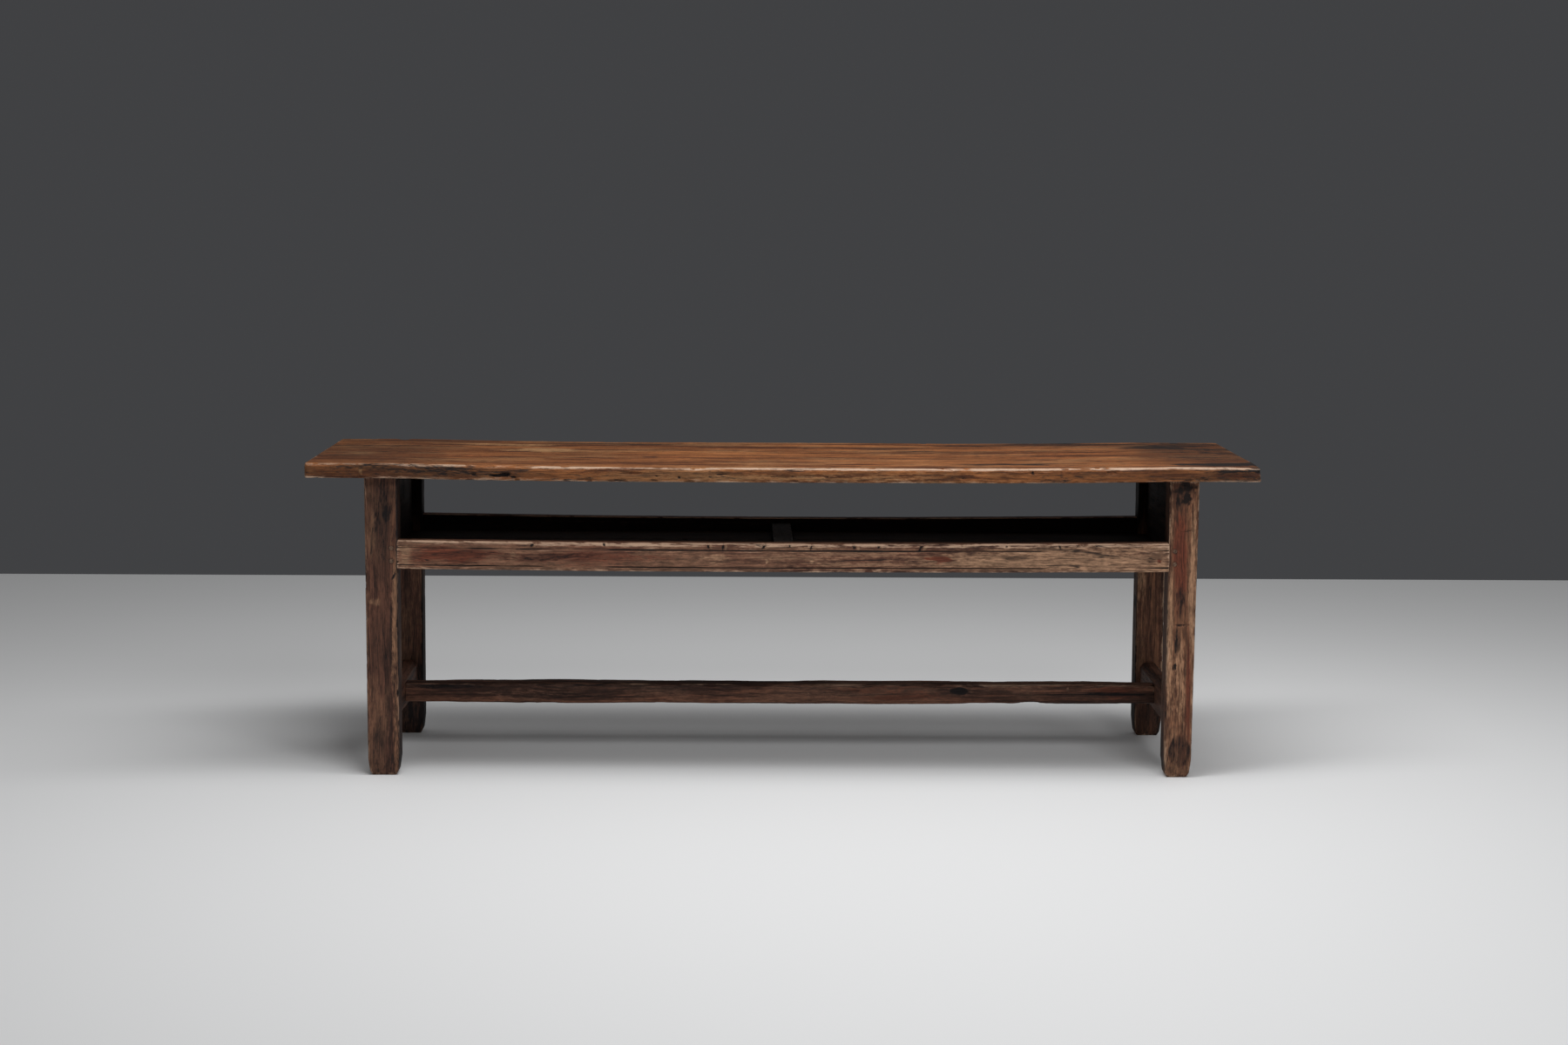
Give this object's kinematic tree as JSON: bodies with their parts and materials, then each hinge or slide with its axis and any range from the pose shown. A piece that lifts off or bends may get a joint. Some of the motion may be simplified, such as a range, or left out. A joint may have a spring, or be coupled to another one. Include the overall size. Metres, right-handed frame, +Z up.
{
  "type": "work table",
  "caption": "Long rustic work table: thick plank top on square legs, open shelf between long rails and end panels, low stretchers in an H, pegged joints.",
  "frame": {"origin": "on the floor under the middle of the table top", "axes": "+X along the length, towards the right leg pair seen from the moulded front; +Y from the moulded front to the rear; +Z up"},
  "size_m": [2.334, 0.68, 0.78],
  "materials": {
    "top_plank": "old waxed hardwood, orange brown with dark stains, worn pale along the upper edge",
    "leg_wood": "worn waxed hardwood, brown with paler rubbed edges and dark knots",
    "rail_wood": "worn waxed hardwood, reddish brown to tan, nicked upper edge",
    "panel_wood": "dry darkened hardwood",
    "shelf_wood": "dry dark softwood boards, greyed with dust",
    "grey_wood": "bare weathered wood, dark grey",
    "stretcher_wood": "rough hewn hardwood, very dark red brown, rubbed along the edges",
    "peg_wood": "riven hardwood pegs, dry"
  },
  "bodies": {
    "root": {"table_top": "top_plank", "front_left_leg": "leg_wood", "front_right_leg": "leg_wood", "rear_left_leg": "leg_wood", "rear_right_leg": "leg_wood", "front_rail": "rail_wood", "rear_rail": "rail_wood", "left_end_panel": "panel_wood", "right_end_panel": "panel_wood", "centre_cross_rail": "grey_wood", "left_shelf_cleat": "grey_wood", "right_shelf_cleat": "grey_wood", "left_end_stretcher": "stretcher_wood", "right_end_stretcher": "stretcher_wood", "centre_stretcher": "stretcher_wood", "left_front_shelf_board": "shelf_wood", "left_middle_shelf_board": "shelf_wood", "left_rear_shelf_board": "shelf_wood", "right_front_shelf_board": "shelf_wood", "right_middle_shelf_board": "shelf_wood", "right_rear_shelf_board": "shelf_wood", "front_rail_pegs": "peg_wood", "rear_rail_pegs": "peg_wood", "left_panel_pegs": "peg_wood", "right_panel_pegs": "peg_wood", "left_stretcher_pegs": "peg_wood", "right_stretcher_pegs": "peg_wood", "centre_stretcher_pegs": "peg_wood"}
  },
  "joints": []
}
